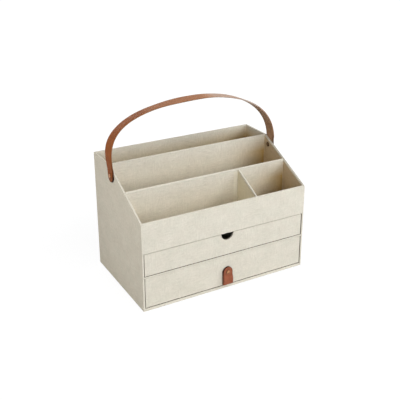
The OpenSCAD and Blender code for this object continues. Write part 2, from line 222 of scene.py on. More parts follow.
# Linen-look paper: slubs both ways that come and go, fine threads, mottled fibres and clouds
def paperMaterial(name, look):
    shade = Shade(bpy.data.materials.new(name))
    cloth = shade.inMillimetres(shade.node("ShaderNodeUVMap", {"uv_map": "cloth"}))

    def start(layer):
        return shade.shifted(cloth, weave[layer])

    def threads(layer, across, along, upright):
        factors = (across, along, 1.0) if upright else (along, across, 1.0)
        return shade.noise(shade.scaled(start(layer), factors), 1.0, 2.0, 0.55, 0.35)

    slub = (look["slubAcross"], look["slubAlong"])
    fine = (weave["fineAcross"], weave["fineAlong"])
    warp, weft = threads("warpAt", *slub, True), threads("weftAt", *slub, False)
    fineWarp, fineWeft = threads("fineWarpAt", *fine, True), threads("fineWeftAt", *fine, False)
    fibre = shade.noise(cloth, look["fibreScale"], 4.0, 0.7, 0.6)
    cloud = shade.noise(start("cloudAt"), look["cloudScale"], 3.0, 0.55)
    patch = shade.ramp(shade.noise(start("patchAt"), weave["patchScale"]), 0.38, 0.62)
    lightness = (
        (warp - 0.5) * patch * look["slubs"] + (weft - 0.5) * (1 - patch) * look["slubs"]
        + (fineWarp + fineWeft - 1.0) * look["threads"]
        + (fibre - 0.5) * look["fibres"] + (cloud - 0.5) * look["clouding"] + 0.5
    )
    colour = shade.blend(lightness, look["dark"], look["light"])
    coolCloud = shade.noise(start("coolAt"), weave["coolScale"], 3.0)
    cool = shade.ramp(coolCloud, 0.4, 0.65, 0.0, look["cool"])
    colour = shade.blend(cool, colour, look["coolTint"], "MULTIPLY")
    # Painted shade deep in the pockets and on the side walls that face left
    if "shaded" in look:
        for share, tint in zip(pocketShadeShares(shade, look), ("shaded", "brown", "wall")):
            colour = shade.blend(share, colour, look[tint], "MULTIPLY")
    raised = (fineWarp + fineWeft) * 0.9 + (warp + weft) * 0.5 + fibre * 0.5
    return shade.finish({
        "Base Color": colour, "Specular IOR Level": weave["shine"],
        "Normal": shade.bump(raised, look["relief"], weave["depth"]),
        "Roughness": shade.ramp(fineWarp + fineWeft, 0.7, 1.3, weave["smooth"], weave["rough"]),
    })


paperLook = {
    "dark": (0.57, 0.521, 0.416), "light": (0.835, 0.777, 0.661),
    "cool": 0.35, "coolTint": (0.95, 0.99, 0.98), "cloudScale": 0.035, "clouding": 0.45,
    "slubAcross": 0.42, "slubAlong": 0.07, "slubs": 0.7, "threads": 0.16,
    "fibreScale": 0.30, "fibres": 0.75, "relief": 0.35,
}
untinted = (1.0, 1.0, 1.0)
# Painted shade on the right walls, which face left, in front of the rear divider
rightWallShade = {"wallX": (0.1605, 0.1612), "wallY": (0.033, 0.029)}
# Lining paper with painted shade: yellow deep in the pockets, brown low in the right corners
liningLook = dict(
    paperLook, dark=(0.580, 0.525, 0.420), light=(0.850, 0.790, 0.670),
    slubs=0.9, clouding=0.4, relief=0.40,
    shaded=(0.87, 0.75, 0.49), brown=(0.50, 0.34, 0.12), wall=(0.70, 0.585, 0.45), **rightWallShade,
)
# The facing is a side wall that faces left too, up to its rear flange, with the same painted shade
facingLook = dict(
    liningLook, dark=(0.66, 0.600, 0.465), light=(0.85, 0.785, 0.635),
    shaded=(1.0, 0.99, 0.96), brown=untinted, wall=(0.88, 0.86, 0.79),
    wallX=(0.0, 0.001), wallY=(-0.0362, -0.0370),
)
# Divider paper with painted shade, brown low in the right corners and faintly yellow deep down
dividerLook = dict(
    paperLook, shaded=(0.985, 0.97, 0.92), brown=(0.60, 0.465, 0.33), wall=untinted, **rightWallShade,
)
# Darker paper on the right slope's top edge: painted shade where the edge catches light
edgeShadeLook = dict(paperLook, dark=(0.40, 0.345, 0.260), light=(0.56, 0.500, 0.405))
# Paper turned into the drawer bays, made dark: painted shade in the gaps round the drawers
bayShadeLook = dict(paperLook, dark=(0.13, 0.105, 0.075), light=(0.22, 0.185, 0.140))
paper = paperMaterial("linen_paper", paperLook)
lining = paperMaterial("lining_paper", liningLook)
facingPaper = paperMaterial("facing_paper", facingLook)
divider = paperMaterial("divider_paper", dividerLook)
bayShade = paperMaterial("bay_shade_paper", bayShadeLook)
edgeShadePaper = paperMaterial("edge_shade_paper", edgeShadeLook)

boardLook = {
    "dark": (0.235, 0.185, 0.135), "light": (0.345, 0.285, 0.215),
    "darkFleck": (0.14, 0.105, 0.075), "paleFleck": (0.48, 0.42, 0.34),
    "relief": 0.35, "depth": 0.00015, "shine": 0.2,
}


# Pressed grey board, with flecks and a soft torn look
def boardMaterial(name, look):
    shade = Shade(bpy.data.materials.new(name))
    spot = shade.inMillimetres(shade.place())
    cloud = shade.noise(spot, 0.08, 3.0, 0.6)
    fleck = shade.noise(spot, 1.6, 2.0, 0.6)
    fibre = shade.noise(shade.scaled(spot, (0.25, 0.25, 1.6)), 1.0, 3.0, 0.65)
    tone = shade.ramp(cloud * 0.5 + fibre * 0.5, 0.35, 0.65)
    colour = shade.blend(tone, look["dark"], look["light"])
    colour = shade.blend(shade.ramp(fleck, 0.66, 0.74), colour, look["darkFleck"])
    colour = shade.blend(shade.ramp(fleck, 0.33, 0.26), colour, look["paleFleck"])
    return shade.finish({
        "Base Color": colour, "Roughness": shade.ramp(fibre, 0.3, 0.7, 0.85, 0.97),
        "Normal": shade.bump(fibre + fleck * 0.5, look["relief"], look["depth"]),
        "Specular IOR Level": look["shine"],
    })


board = boardMaterial("grey_board", boardLook)

# Scales of the noise per millimetre, the relief of the grain, and its depth in metres
hide = {
    "cloud": 0.07, "mottle": 0.35, "mottleAt": (50.0, 9.0, 3.0), "pore": 1.9, "grain": 2.4,
    "relief": 0.2, "depth": 0.0002, "roughSpan": 0.16, "fleshRough": 0.25, "rimSmooth": 0.08,
}


# Vegetable-tanned leather: pores and fine creases, clouded colour, dark burnished rims
def leatherMaterial(name, look):
    shade = Shade(bpy.data.materials.new(name))
    spot = shade.inMillimetres(shade.place())
    rim, flesh = shade.layer("rim"), shade.layer("flesh")
    cloud = shade.noise(spot, hide["cloud"], 3.0, 0.6, 0.4)
    mottle = shade.noise(shade.shifted(spot, hide["mottleAt"]), hide["mottle"], 3.0, 0.6)
    pore = shade.node(
        "ShaderNodeTexVoronoi", {"feature": "DISTANCE_TO_EDGE"},
        {"Vector": spot, "Scale": hide["pore"]},
    )
    grain = shade.noise(spot, hide["grain"], 3.0, 0.7)
    tone = shade.ramp(cloud * 0.6 + mottle * 0.4, 0.36, 0.64)
    colour = shade.blend(tone, look["dark"], look["light"])
    colour = shade.blend(shade.ramp(pore, 0.0, 0.12, 0.12, 0.0), colour, look["crease"])
    # Painted light and painted sheen, carried by the mesh along the strap
    if "paintedLight" in look:
        colour = shade.blend(shade.layer("paintedLight"), colour, look["paintedLight"])
    colour = shade.blend(flesh * look["fleshShare"], colour, look["flesh"])
    if "paintedSheen" in look:
        colour = shade.blend(shade.layer("paintedSheen"), colour, look["paintedSheen"])
    colour = shade.blend(rim * look["rimShare"], colour, look["rim"])
    height = shade.ramp(pore, 0.0, 0.25) * 0.4 + grain * 0.4 + mottle * 0.4
    rough = shade.ramp(mottle + grain, 0.7, 1.3, look["gloss"], look["gloss"] + hide["roughSpan"])
    return shade.finish({
        "Base Color": colour, "Specular IOR Level": look["shine"],
        "Normal": shade.bump(height, hide["relief"], hide["depth"]),
        "Roughness": rough + flesh * hide["fleshRough"] - rim * hide["rimSmooth"],
    })


# Its lighter tan and pale grey are painted light over the arch and painted sheen at the bends
strapLook = {
    "dark": (0.230, 0.065, 0.016), "light": (0.330, 0.101, 0.028), "crease": (0.15, 0.042, 0.011),
    "flesh": (0.40, 0.240, 0.145), "fleshShare": 0.95, "rim": (0.035, 0.013, 0.006),
    "rimShare": 1.0, "paintedLight": (0.62, 0.33, 0.19), "paintedSheen": (0.62, 0.49, 0.40),
    "gloss": 0.46, "shine": 0.04,
}
tabLook = {
    "dark": (0.255, 0.074, 0.036), "light": (0.365, 0.118, 0.060), "crease": (0.15, 0.042, 0.022),
    "flesh": (0.30, 0.160, 0.090), "fleshShare": 0.9, "rim": (0.055, 0.018, 0.009),
    "rimShare": 1.0, "gloss": 0.48, "shine": 0.12,
}
strapLeather = leatherMaterial("strap_leather", strapLook)
tabLeather = leatherMaterial("tab_leather", tabLook)


# Copper in dark and light patches, painted reflections, with a brown patina round its rim
def copperMaterial(name, look):
    shade = Shade(bpy.data.materials.new(name))
    spot = shade.inMillimetres(shade.place())
    cloud = shade.noise(spot, 0.4, 3.0, 0.6)
    scratch = shade.noise(shade.scaled(spot, (3.5, 3.5, 0.5)), 1.0, 3.0, 0.7)
    # Dark and light patches: painted reflections of dark and bright surroundings
    colour = shade.blend(shade.ramp(cloud, 0.38, 0.62), look["dark"], look["light"])
    colour = shade.blend(shade.layer("rim") * look["rimShare"], colour, look["patina"])
    tone = cloud * 0.5 + scratch * 0.5
    return shade.finish({
        "Base Color": colour, "Metallic": 1.0,
        "Normal": shade.bump(scratch + cloud, look["relief"], look["depth"]),
        "Roughness": shade.ramp(tone, 0.35, 0.65, look["gloss"], look["gloss"] + 0.2),
    })


headLook = {
    "dark": (0.20, 0.088, 0.040), "light": (0.60, 0.300, 0.155), "patina": (0.06, 0.028, 0.013),
    "rimShare": 0.9, "gloss": 0.36, "relief": 0.35, "depth": 0.0001,
}
# The backs inside the box: a darker copy of the head copper, painted shade
capLook = dict(
    headLook, dark=(0.09, 0.055, 0.030), light=(0.20, 0.125, 0.070),
    patina=(0.04, 0.026, 0.015), rimShare=0.8, gloss=0.42,
)
copper = copperMaterial("copper", headLook)
shadedCopper = copperMaterial("shaded_copper", capLook)
print("materials ready")


# Polygons of points in millimetres, welded where they meet. facing is the way that the first
# one looks.
def weld(name, faces, facing):
    form = bmesh.new()
    found = {}
    for face in faces:
        corners = []
        for point in face:
            key = tuple(round(c, 3) for c in point)
            if key not in found:
                found[key] = form.verts.new([c * mm for c in point])
            corners.append(found[key])
        form.faces.new(corners)
    bmesh.ops.recalc_face_normals(form, faces=form.faces)
    form.faces.ensure_lookup_table()
    form.faces[0].normal_update()
    if form.faces[0].normal.dot(Vector(facing)) < 0:
        bmesh.ops.reverse_faces(form, faces=form.faces)
    mesh = bpy.data.meshes.new(name)
    form.to_mesh(mesh)
    form.free()
    layCloth(mesh)
    return mesh


# Where the cloth starts on faces across x, y and z, and its step on those that look the other way
clothStart = (0.13, 0.31, 0.53)
clothBack = 0.7


# Cloth coordinates: each face takes the two axes that it lies along
def layCloth(mesh):
    layer = mesh.uv_layers.new(name="cloth")
    for polygon in mesh.polygons:
        n = [abs(c) for c in polygon.normal]
        flat = n.index(max(n))
        shift = clothStart[flat] + (clothBack if polygon.normal[flat] < 0 else 0.0)
        for loop in polygon.loop_indices:
            co = mesh.vertices[mesh.loops[loop].vertex_index].co
            u, v = ((co.y, co.z), (co.x, co.z), (co.x, co.y))[flat]
            layer.data[loop].uv = (u + shift, v + shift)
        polygon.use_smooth = True


def addPiece(name, mesh, material, body, slotName, *replaced):
    piece = bpy.data.objects.new(name, mesh)
    bpy.context.scene.collection.objects.link(piece)
    piece.data.materials.append(material)
    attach(piece, body)
    if replaced:
        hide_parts(*replaced)
    return piece


foldAngle = math.radians(28)


# Rounds the folds of a sheet, gives it its thickness, and evens its shading
def soften(piece, fold, segments=3, sheet=None):
    bevel = piece.modifiers.new("folds", "BEVEL")
    bevel.width = fold * mm
    bevel.segments = segments
    bevel.limit_method = "ANGLE"
    bevel.angle_limit = foldAngle
    bevel.miter_outer = "MITER_ARC"
    if sheet:
        solid = piece.modifiers.new("thickness", "SOLIDIFY")
        solid.thickness = sheet * mm
        solid.offset = -1.0
        solid.use_even_offset = True
    piece.modifiers.new("even", "WEIGHTED_NORMAL")


def arc(centre, radius, start, end, steps):
    turn = [math.radians(start + (end - start) * i / steps) for i in range(steps + 1)]
    return [(centre[0] + radius * math.cos(a), centre[1] + radius * math.sin(a)) for a in turn]


# Covering paper of the box. Its flaps end inside the side walls, in the bays and under the base.
cover = {
    "lift": 0.15, "fold": 0.4, "sheet": 0.34, "flap": 6.0, "turnIn": 12.0, "turnUnder": 12.0,
}


def coverFaces():
    x, y = box["outX"], box["outY"]
    ix, iy = box["inX"] - cover["lift"], box["inY"] - cover["lift"]
    lift = cover["lift"]
    bends = [-iy, box["slopeEnd"], iy]
    paintedLight = []
    levels = [
        0.0, box["lowerFloor"] + lift, box["shelf"] - lift,
        box["upperFloor"] + lift, box["pocketFloor"] - lift, box["frontTop"],
    ]
    faces = []
    for side in (-1, 1):
        front = [(side * x, -y, z) for z in reversed(levels)]
        faces.append([
            *front, (side * x, y, 0.0), (side * x, y, box["top"]),
            (side * x, box["slopeEnd"], box["top"]),
        ])
        # top edge of the side, and the flap inside it
        outer = [
            (side * x, -y, box["frontTop"]), (side * x, box["slopeEnd"], box["top"]),
            (side * x, y, box["top"]),
        ]
        inner = [(side * ix, b, edgeZ(b)) for b in bends]
        low = [(side * ix, b, edgeZ(b, cover["flap"])) for b in bends]
        for i in range(2):
            # The right slope's top edge gets painted shade
            if side > 0 and i == 0:
                paintedLight.append(len(faces))  # right slope
            faces.append([outer[i], outer[i + 1], inner[i + 1], inner[i]])
            faces.append([inner[i], inner[i + 1], low[i + 1], low[i]])
    for sy, top in ((-1, box["frontTop"]), (1, box["top"])):
        outer = [(-x, sy * y, top), (x, sy * y, top)]
        if sy < 0:
            outer[1:1] = [(-ix, sy * y, top), (ix, sy * y, top)]
        z = edgeZ(sy * iy)
        drop = edgeZ(sy * iy, cover["flap"])
        faces.append([*outer, (ix, sy * iy, z), (-ix, sy * iy, z)])
        faces.append([
            (-ix, sy * iy, z), (ix, sy * iy, z), (ix, sy * iy, drop), (-ix, sy * iy, drop),
        ])
    faces.append([(-x, y, 0.0), (x, y, 0.0), (x, y, box["top"]), (-x, y, box["top"])])
    # front, round the two drawer bays
    columns = [-x, -ix, ix, x]
    for i in range(3):
        for j in range(5):
            if i == 1 and j in (1, 3):
                continue  # the bays stay open
            a, b, c, d = columns[i], columns[i + 1], levels[j], levels[j + 1]
            faces.append([(a, -y, c), (b, -y, c), (b, -y, d), (a, -y, d)])
    # paper turned into each bay
    deep = -y + cover["turnIn"]
    bay = []
    for low, high in ((levels[1], levels[2]), (levels[3], levels[4])):
        ring = [(-ix, low), (ix, low), (ix, high), (-ix, high)]
        for i in range(4):
            (a, c), (b, d) = ring[i], ring[(i + 1) % 4]
            bay.append(len(faces))
            faces.append([(a, -y, c), (b, -y, d), (b, deep, d), (a, deep, c)])
    # paper turned under the base
    ux, uy = x - cover["turnUnder"], y - cover["turnUnder"]
    front = [(px, -y, 0.0) for px in columns]
    faces.append([*front, (ux, -uy, 0.0), (-ux, -uy, 0.0)])
    faces.append([(x, -y, 0.0), (x, y, 0.0), (ux, uy, 0.0), (ux, -uy, 0.0)])
    faces.append([(x, y, 0.0), (-x, y, 0.0), (-ux, uy, 0.0), (ux, uy, 0.0)])
    faces.append([(-x, y, 0.0), (-x, -y, 0.0), (-ux, -uy, 0.0), (-ux, uy, 0.0)])
    return faces, bay, paintedLight


coverSheet, bayFaces, edgeShadeFaces = coverFaces()
skin = addPiece(
    "cover_paper", weld("cover_paper", coverSheet, (-1, 0, 0)), paper,
    "box", "covering_paper", "outer_paper",
)
# Painted shade on the paper in the bays and on the right slope's top edge
for slotIndex, look, indexes in ((1, bayShade, bayFaces), (2, edgeShadePaper, edgeShadeFaces)):
    skin.data.materials.append(look)
    for index in indexes:
        skin.data.polygons[index].material_index = slotIndex
soften(skin, cover["fold"], 3, cover["sheet"])


def walls(low, high):
    return [[low[i], low[(i + 1) % 4], high[(i + 1) % 4], high[i]] for i in range(4)]


# Sheet pasted over the middle of the underside
underFold = 0.12


def underFaces():
    lo, hi = [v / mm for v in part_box("base_paper")]
    low, high = [
        [(lo.x, lo.y, z), (hi.x, lo.y, z), (hi.x, hi.y, z), (lo.x, hi.y, z)] for z in (lo.z, hi.z)
    ]
    return [low, high, *walls(low, high)]


under = addPiece(
    "base_paper_sheet", weld("under", underFaces(), (0, 0, -1)), lining,
    "box", "lining_paper", "base_paper",
)
soften(under, underFold, 2)
print("cover built")

dividerFold = 0.9


# An upright board in its folded paper, its top cut along the slope
def dividerFaces(node):
    lo, hi = [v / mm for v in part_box(node)]
    ring = [(lo.x, lo.y), (hi.x, lo.y), (hi.x, hi.y), (lo.x, hi.y)]
    low = [(px, py, lo.z) for px, py in ring]
    high = [(px, py, edgeZ(py)) for px, py in ring]
    front, *others = walls(low, high)
    return [front, low, high, *others]


for node in ("rear_divider", "middle_divider", "cross_divider"):
    mesh = weld(node, dividerFaces(node), (0, -1, 0))
    soften(addPiece(node + "_folded", mesh, divider, "box", "covered_board", node), dividerFold, 4)

# Facing paper of the cross divider, with a flange round each corner
facing = {"fold": 0.5, "sheet": 0.3}


def facingFaces():
    lo, hi = [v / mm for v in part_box("cross_divider_facing")]
    inset = box["paper"]
    face, near, far = hi.x - inset, lo.y + inset, hi.y - inset
    plan = [(lo.x, near), (face, near), (face, far), (lo.x, far)]
    faces = []
    for (ax, ay), (bx, by) in zip(plan, plan[1:]):
        faces.append([
            (ax, ay, lo.z), (bx, by, lo.z),
            (bx, by, edgeZ(by, box["reveal"])), (ax, ay, edgeZ(ay, box["reveal"])),
        ])
    return faces


facingPiece = addPiece(
    "cross_divider_flanged_paper", weld("facing", facingFaces(), (0, 1, 0)), facingPaper,
    "box", "covering_paper", "cross_divider_facing",
)
soften(facingPiece, facing["fold"], 3, facing["sheet"])
print("dividers built")

liningFit = {"sheet": 0.32, "fold": 1.1, "notchSteps": 20}


# Open tray of paper inside four walls. notch cuts a half-round out of its front wall.
def trayFaces(x0, x1, y0, y1, z0, topAt, notch=None):
    faces = []
    floor = [(x0, y0, z0), (x1, y0, z0), (x1, y1, z0), (x0, y1, z0)]
    faces.append(floor)
    faces.append([(x0, y1, z0), (x1, y1, z0), (x1, y1, topAt(y1)), (x0, y1, topAt(y1))])
    for x in (x0, x1):
        ridge = [(x, y0, topAt(y0))]
        if y0 < box["slopeEnd"] < y1 and topAt(y0) != topAt(y1):
            ridge.append((x, box["slopeEnd"], topAt(box["slopeEnd"])))
        ridge.append((x, y1, topAt(y1)))
        faces.append([(x, y1, z0), (x, y0, z0), *ridge])
    top = topAt(y0)
    cut = []
    if notch:
        centre, radius = notch
        edge = math.degrees(math.asin((centre - top) / radius))
        ends = arc((0.0, centre), radius, -edge, edge - 180.0, liningFit["notchSteps"])
        cut = [(px, y0, pz) for px, pz in ends]
        cut[0], cut[-1] = (cut[0][0], y0, top), (cut[-1][0], y0, top)
    faces.append([(x0, y0, z0), (x1, y0, z0), (x1, y0, top), *cut, (x0, y0, top)])
    return faces


def addLining(node, body, topAt, notch=None):
    lo, hi = [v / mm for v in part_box(node)]
    inset = box["paper"]
    faces = trayFaces(
        lo.x + inset, hi.x - inset, lo.y + inset, hi.y - inset, lo.z + inset, topAt, notch
    )
    mesh = weld(node, faces, (0, 0, 1))
    piece = addPiece(node + "_sheet", mesh, lining, body, "lining_paper", node)
    soften(piece, liningFit["fold"], 3, liningFit["sheet"])


for pocket in ("rear", "middle", "left", "right"):
    addLining(pocket + "_pocket_lining", "box", lambda y: edgeZ(y, box["reveal"]))
print("linings built")

drawerFit = {
    "fold": 0.3, "sheet": 0.34, "lift": 0.15, "flap": 6.0, "wall": 2.9, "frontLift": 1.0,
}
notch = {"radius": 12.5, "steps": 24, "slack": 1e-6}


# Covering of a drawer: four walls turned over their top edges, and the underside
def drawerFaces(node, withNotch):
    lo, hi = [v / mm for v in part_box(node)]
    top, fit = hi.z, drawerFit
    inset = fit["wall"] + fit["lift"]
    ax, ix, iy = lo.x + inset, hi.x - inset, hi.y - inset
    fy = -box["inY"] + fit["lift"]
    frontLow = lo.z + fit["frontLift"]
    drop = top - fit["flap"]
    faces = []
    rim = []
    r = notch["radius"]
    if withNotch:
        angles = [math.pi * i / notch["steps"] for i in range(notch["steps"] + 1)]
        dip = math.asin(fit["flap"] / r)  # the flap ends on one of the notch's own points
        dips = sorted({*angles, dip, math.pi - dip})
        rim = [(r * math.cos(a), top - r * math.sin(a)) for a in dips]
    # front: outside, top edge, inside flap
    outside = [(lo.x, lo.y, frontLow), (hi.x, lo.y, frontLow), (hi.x, lo.y, top)]
    outside += [(px, lo.y, pz) for px, pz in rim] + [(lo.x, lo.y, top)]
    faces.append(outside)
    if withNotch:
        faces.append([(lo.x, lo.y, top), (-r, lo.y, top), (-r, fy, top), (ax, fy, top)])
        faces.append([(r, lo.y, top), (hi.x, lo.y, top), (ix, fy, top), (r, fy, top)])
        for (px, pz), (qx, qz) in zip(rim, rim[1:]):
            faces.append([(px, lo.y, pz), (qx, lo.y, qz), (qx, fy, qz), (px, fy, pz)])
        above = [(px, fy, pz) for px, pz in rim if pz >= drop - notch["slack"]]
        right = [point for point in above if point[0] > 0]
        left = [point for point in above if point[0] < 0]
        faces.append([(ix, fy, top), *right, (ix, fy, drop)])
        faces.append([*left, (ax, fy, top), (ax, fy, drop)])
    else:
        faces.append([(lo.x, lo.y, top), (hi.x, lo.y, top), (ix, fy, top), (ax, fy, top)])
        faces.append([(ax, fy, top), (ix, fy, top), (ix, fy, drop), (ax, fy, drop)])
    # back
    faces.append([(lo.x, hi.y, lo.z), (hi.x, hi.y, lo.z), (hi.x, hi.y, top), (lo.x, hi.y, top)])
    faces.append([(lo.x, hi.y, top), (hi.x, hi.y, top), (ix, iy, top), (ax, iy, top)])
    faces.append([(ax, iy, top), (ix, iy, top), (ix, iy, drop), (ax, iy, drop)])
    # sides and underside: the front's lower edge stands higher, for a dark gap under it
    step = -box["inY"] - box["paper"]
    run = [(lo.y, frontLow), (step, frontLow), (step, lo.z), (hi.y, lo.z)]
    for x, inner in ((lo.x, ax), (hi.x, ix)):
        faces.append([(x, lo.y, top), *[(x, py, pz) for py, pz in run], (x, hi.y, top)])
        faces.append([(x, lo.y, top), (x, hi.y, top), (inner, iy, top), (inner, fy, top)])
        faces.append([(inner, fy, top), (inner, iy, top), (inner, iy, drop), (inner, fy, drop)])
    for (ay, az), (by, bz) in zip(run, run[1:]):
        faces.append([(lo.x, ay, az), (hi.x, ay, az), (hi.x, by, bz), (lo.x, by, bz)])
    return faces


for drawer, withNotch in (("upper_drawer", True), ("lower_drawer", False)):
    node = drawer + "_paper"
    mesh = weld(node, drawerFaces(node, withNotch), (0, -1, 0))
    wrap = addPiece(drawer + "_cover_paper", mesh, paper, drawer, "covering_paper", node)
    soften(wrap, drawerFit["fold"], 3, drawerFit["sheet"])
    top = cadSide(node, 2, 1)
    addLining(
        drawer + "_lining", drawer, lambda y, z=top: z - box["reveal"],
        (top, notch["radius"]) if withNotch else None,
    )
print("drawers built")


def cubic(a, b, c, d, steps):
    points = []
    for i in range(steps + 1):
        t = i / steps
        s = 1 - t
        points.append(a * s ** 3 + 3 * b * s * s * t + 3 * c * s * t * t + d * t ** 3)
    return points


def quadratic(a, b, c, steps):
    points = []
    for i in range(steps + 1):
        t = i / steps
        s = 1 - t
        points.append(a * s * s + 2 * b * s * t + c * t * t)
    return points


# Leather edges: how much of the thickness is rounded off, and how far the burnish reaches in. It
# is faint along the strip, full round the riveted ends, and widest there along the front edge,
# where it is burnish and painted shade beside the foot.
edging = {
    "corner": 0.36, "cornerSteps": 4, "least": 0.05, "endSteps": 12, "reach": 1.3,
    "footShadeReach": 2.6, "faint": 0.25, "footFull": 1.35, "footWidths": 1.25,
}


# Lengths at which a strip is drawn: even ones, and closer ones that draw its round ends
def stations(total, radius, step):
    steps = edging["endSteps"]
    turned = [radius * (1 - math.cos(math.radians(90 * i / steps))) for i in range(steps)]
    count = round((total - 2 * radius) / step)
    even = [radius + (total - 2 * radius) * i / count for i in range(count + 1)]
    return [*turned, *even, *[total - mark for mark in reversed(turned)]]


# Points at those lengths along a line
def follow(points, radius, step):
    lengths = [0.0]
    for p, q in zip(points, points[1:]):
        lengths.append(lengths[-1] + (q - p).length)
    marks = stations(lengths[-1], radius, step)
    out = []
    k = 0
    for mark in marks:
        while k < len(lengths) - 2 and lengths[k + 1] < mark:
            k += 1
        share = (mark - lengths[k]) / (lengths[k + 1] - lengths[k])
        out.append(points[k].lerp(points[k + 1], min(1.0, share)))
    return out, marks


# Cross-section of a strip: round corners, and both faces hollowed or domed by cup
def stripSection(half, thickness, corner, cup):
    wide, tall = max(half - corner, edging["least"]), thickness / 2 - corner
    shares = (0.7, 0.35, 0.0, -0.35, -0.7)  # points across each face
    points = []
    for sx, sz, start in ((1, 1, 0), (-1, 1, 90), (-1, -1, 180), (1, -1, 270)):
        points += arc((sx * wide, sz * tall), corner, start, start + 90, edging["cornerSteps"])
        if sx == sz:
            points += [(sx * wide * share, sz * thickness / 2) for share in shares]
    return [(px, pz - cup * (px / (wide + corner)) ** 2) for px, pz in points]


# Value at a share of the way, eased between the knots
def between(knots, share):
    for (a, low), (b, high) in zip(knots, knots[1:]):
        if share <= b:
            t = (1 - math.cos(math.pi * (share - a) / (b - a))) / 2
            return low + (high - low) * t
    return knots[-1][1]


def finishForm(form, name):
    bmesh.ops.recalc_face_normals(form, faces=form.faces)
    for face in form.faces:
        face.smooth = True
    mesh = bpy.data.meshes.new(name)
    form.to_mesh(mesh)
    form.free()
    return mesh


def roundEnd(distance, radius):
    if distance >= radius:
        return radius
    return math.sqrt(max(0.0, radius * radius - (radius - distance) ** 2))


# Painted light along a strip, as shares of its length: lighter and warmer over the arch, and a
# pale grey painted sheen where it bends most
paintedLightRun = (
    (0.0, 0.0), (0.28, 0.1), (0.36, 0.4), (0.45, 0.45), (0.52, 0.5), (0.60, 1.0), (0.74, 1.0),
    (0.80, 0.25), (0.88, 0.1), (1.0, 0.0),
)
paintedSheenRun = (
    (0.0, 0.0), (0.55, 0.0), (0.61, 0.6), (0.68, 0.6), (0.72, 1.0), (0.755, 1.0), (0.775, 0.8),
    (0.80, 0.3), (0.84, 0.18), (0.90, 0.0), (1.0, 0.0),
)

level = ((0.0, 0.0), (1.0, 0.0))


# A leather strip swept along a line in its side view, with round ends
def strip(name, line, marks, size, place, outside, roll=level):
    width, thickness, cup = size
    total = marks[-1]
    corner = thickness * edging["corner"]
    form = bmesh.new()
    rimLayer = form.verts.layers.float.new("rim")
    fleshLayer = form.verts.layers.float.new("flesh")
    paintedLightLayer = form.verts.layers.float.new("paintedLight")
    paintedSheenLayer = form.verts.layers.float.new("paintedSheen")
    loops = []
    last = len(line) - 1
    for i, mark in enumerate(marks):
        tangent = (line[min(i + 1, last)] - line[max(i - 1, 0)]).normalized()
        across = Vector((-tangent.y, tangent.x)) * outside
        near = min(mark, total - mark)
        half = roundEnd(near, width / 2)
        foot = min(1.0, max(0.0, edging["footFull"] - near / (edging["footWidths"] * width)))
        turn = math.radians(between(roll, mark / total))
        ease, lean = math.cos(turn), math.sin(turn)
        # Painted light and painted sheen at this length
        paintedLight, paintedSheen = between(paintedLightRun, mark / total), between(paintedSheenRun, mark / total)
        ring = []
        for side, out in stripSection(half, thickness, corner, cup):
            spot = line[i] + across * (out * ease + side * lean)
            vertex = form.verts.new(place(spot, side * ease - out * lean))
            # Near the ends the front edge's dark reaches wider: burnish and painted shade beside
            # the foot
            reach = edging["reach"] + (edging["footShadeReach"] * foot if side < 0 else 0.0)
            burnish = min(1.0, max(0.0, (abs(side) - half) / corner + reach))
            vertex[rimLayer] = burnish * (edging["faint"] + (1 - edging["faint"]) * foot)
            vertex[fleshLayer] = 1.0 if out < 0 else 0.0
            vertex[paintedLightLayer] = paintedLight
            vertex[paintedSheenLayer] = paintedSheen
            ring.append(vertex)
        loops.append(ring)
    count = len(loops[0])
    for p, q in zip(loops, loops[1:]):
        for k in range(count):
            form.faces.new((p[k], p[(k + 1) % count], q[(k + 1) % count], q[k]))
    for ring in (loops[0], loops[-1]):
        form.faces.new(ring)
        for vertex in ring:
            vertex[rimLayer] = 1.0
    return finishForm(form, name)


handle = {
    "width": 23.5, "thick": 2.4, "rise": 115.0, "lean": 4.0, "rivetY": 17.2, "rivetZ": 209.5,
    "flat": 7.0, "bend": 10.0, "flare": 11.3, "leftPull": (-0.5, 36.4), "crownOut": 25.8,
    "rightPull": (-1.5, 91.0), "crownX": 12.0, "crownLength": 62.0, "cup": 0.15, "gap": 0.3,
    "bendSteps": 10, "archSteps": 60, "step": 2.0,
}
# Roll of the leather along its length, in degrees: shares of the way from the left rivet
strapRoll = (
    (0.0, 0.0), (0.05, 0.0), (0.12, 3.5), (0.22, -2.0), (0.33, -0.5), (0.47, 7.0),
    (0.62, 3.0), (0.75, 0.0), (0.85, -0.5), (1.0, 0.0),
)


def handleLine():
    h = handle
    x = box["outX"] + h["gap"] + h["thick"] / 2
    turn = math.radians(h["flare"])
    left, right = Vector((-x, 0.0)), Vector((x, 0.0))
    knee = Vector((0.0, h["flat"] + h["bend"] / 2))
    leftLeg = left + knee + h["bend"] / 2 * Vector((-math.sin(turn), math.cos(turn)))
    rightLeg = right + knee + h["bend"] / 2 * Vector((math.sin(turn), math.cos(turn)))
    flat = Vector((0.0, h["flat"]))
    crown = Vector((h["crownX"], h["rise"]))
    under = Vector((0.0, -h["width"] / 2))
    points = [left + under, left]
    points += quadratic(left + flat, left + knee, leftLeg, h["bendSteps"])
    leftEnd = Vector((-x - h["crownOut"], h["rise"]))
    points += cubic(leftLeg, left + Vector(h["leftPull"]), leftEnd, crown, h["archSteps"])[1:]
    past = crown + Vector((h["crownLength"], 0.0))
    points += cubic(crown, past, right + Vector(h["rightPull"]), rightLeg, h["archSteps"])[1:]
    points += quadratic(rightLeg, right + knee, right + flat, h["bendSteps"])[1:]
    return points + [right, right + under]


handleTurn = Matrix.Rotation(math.radians(-handle["lean"]), 3, "X")


def handlePlace(spot, side):
    local = handleTurn @ Vector((spot.x, side, spot.y))
    return (local + Vector((0.0, handle["rivetY"], handle["rivetZ"]))) * mm


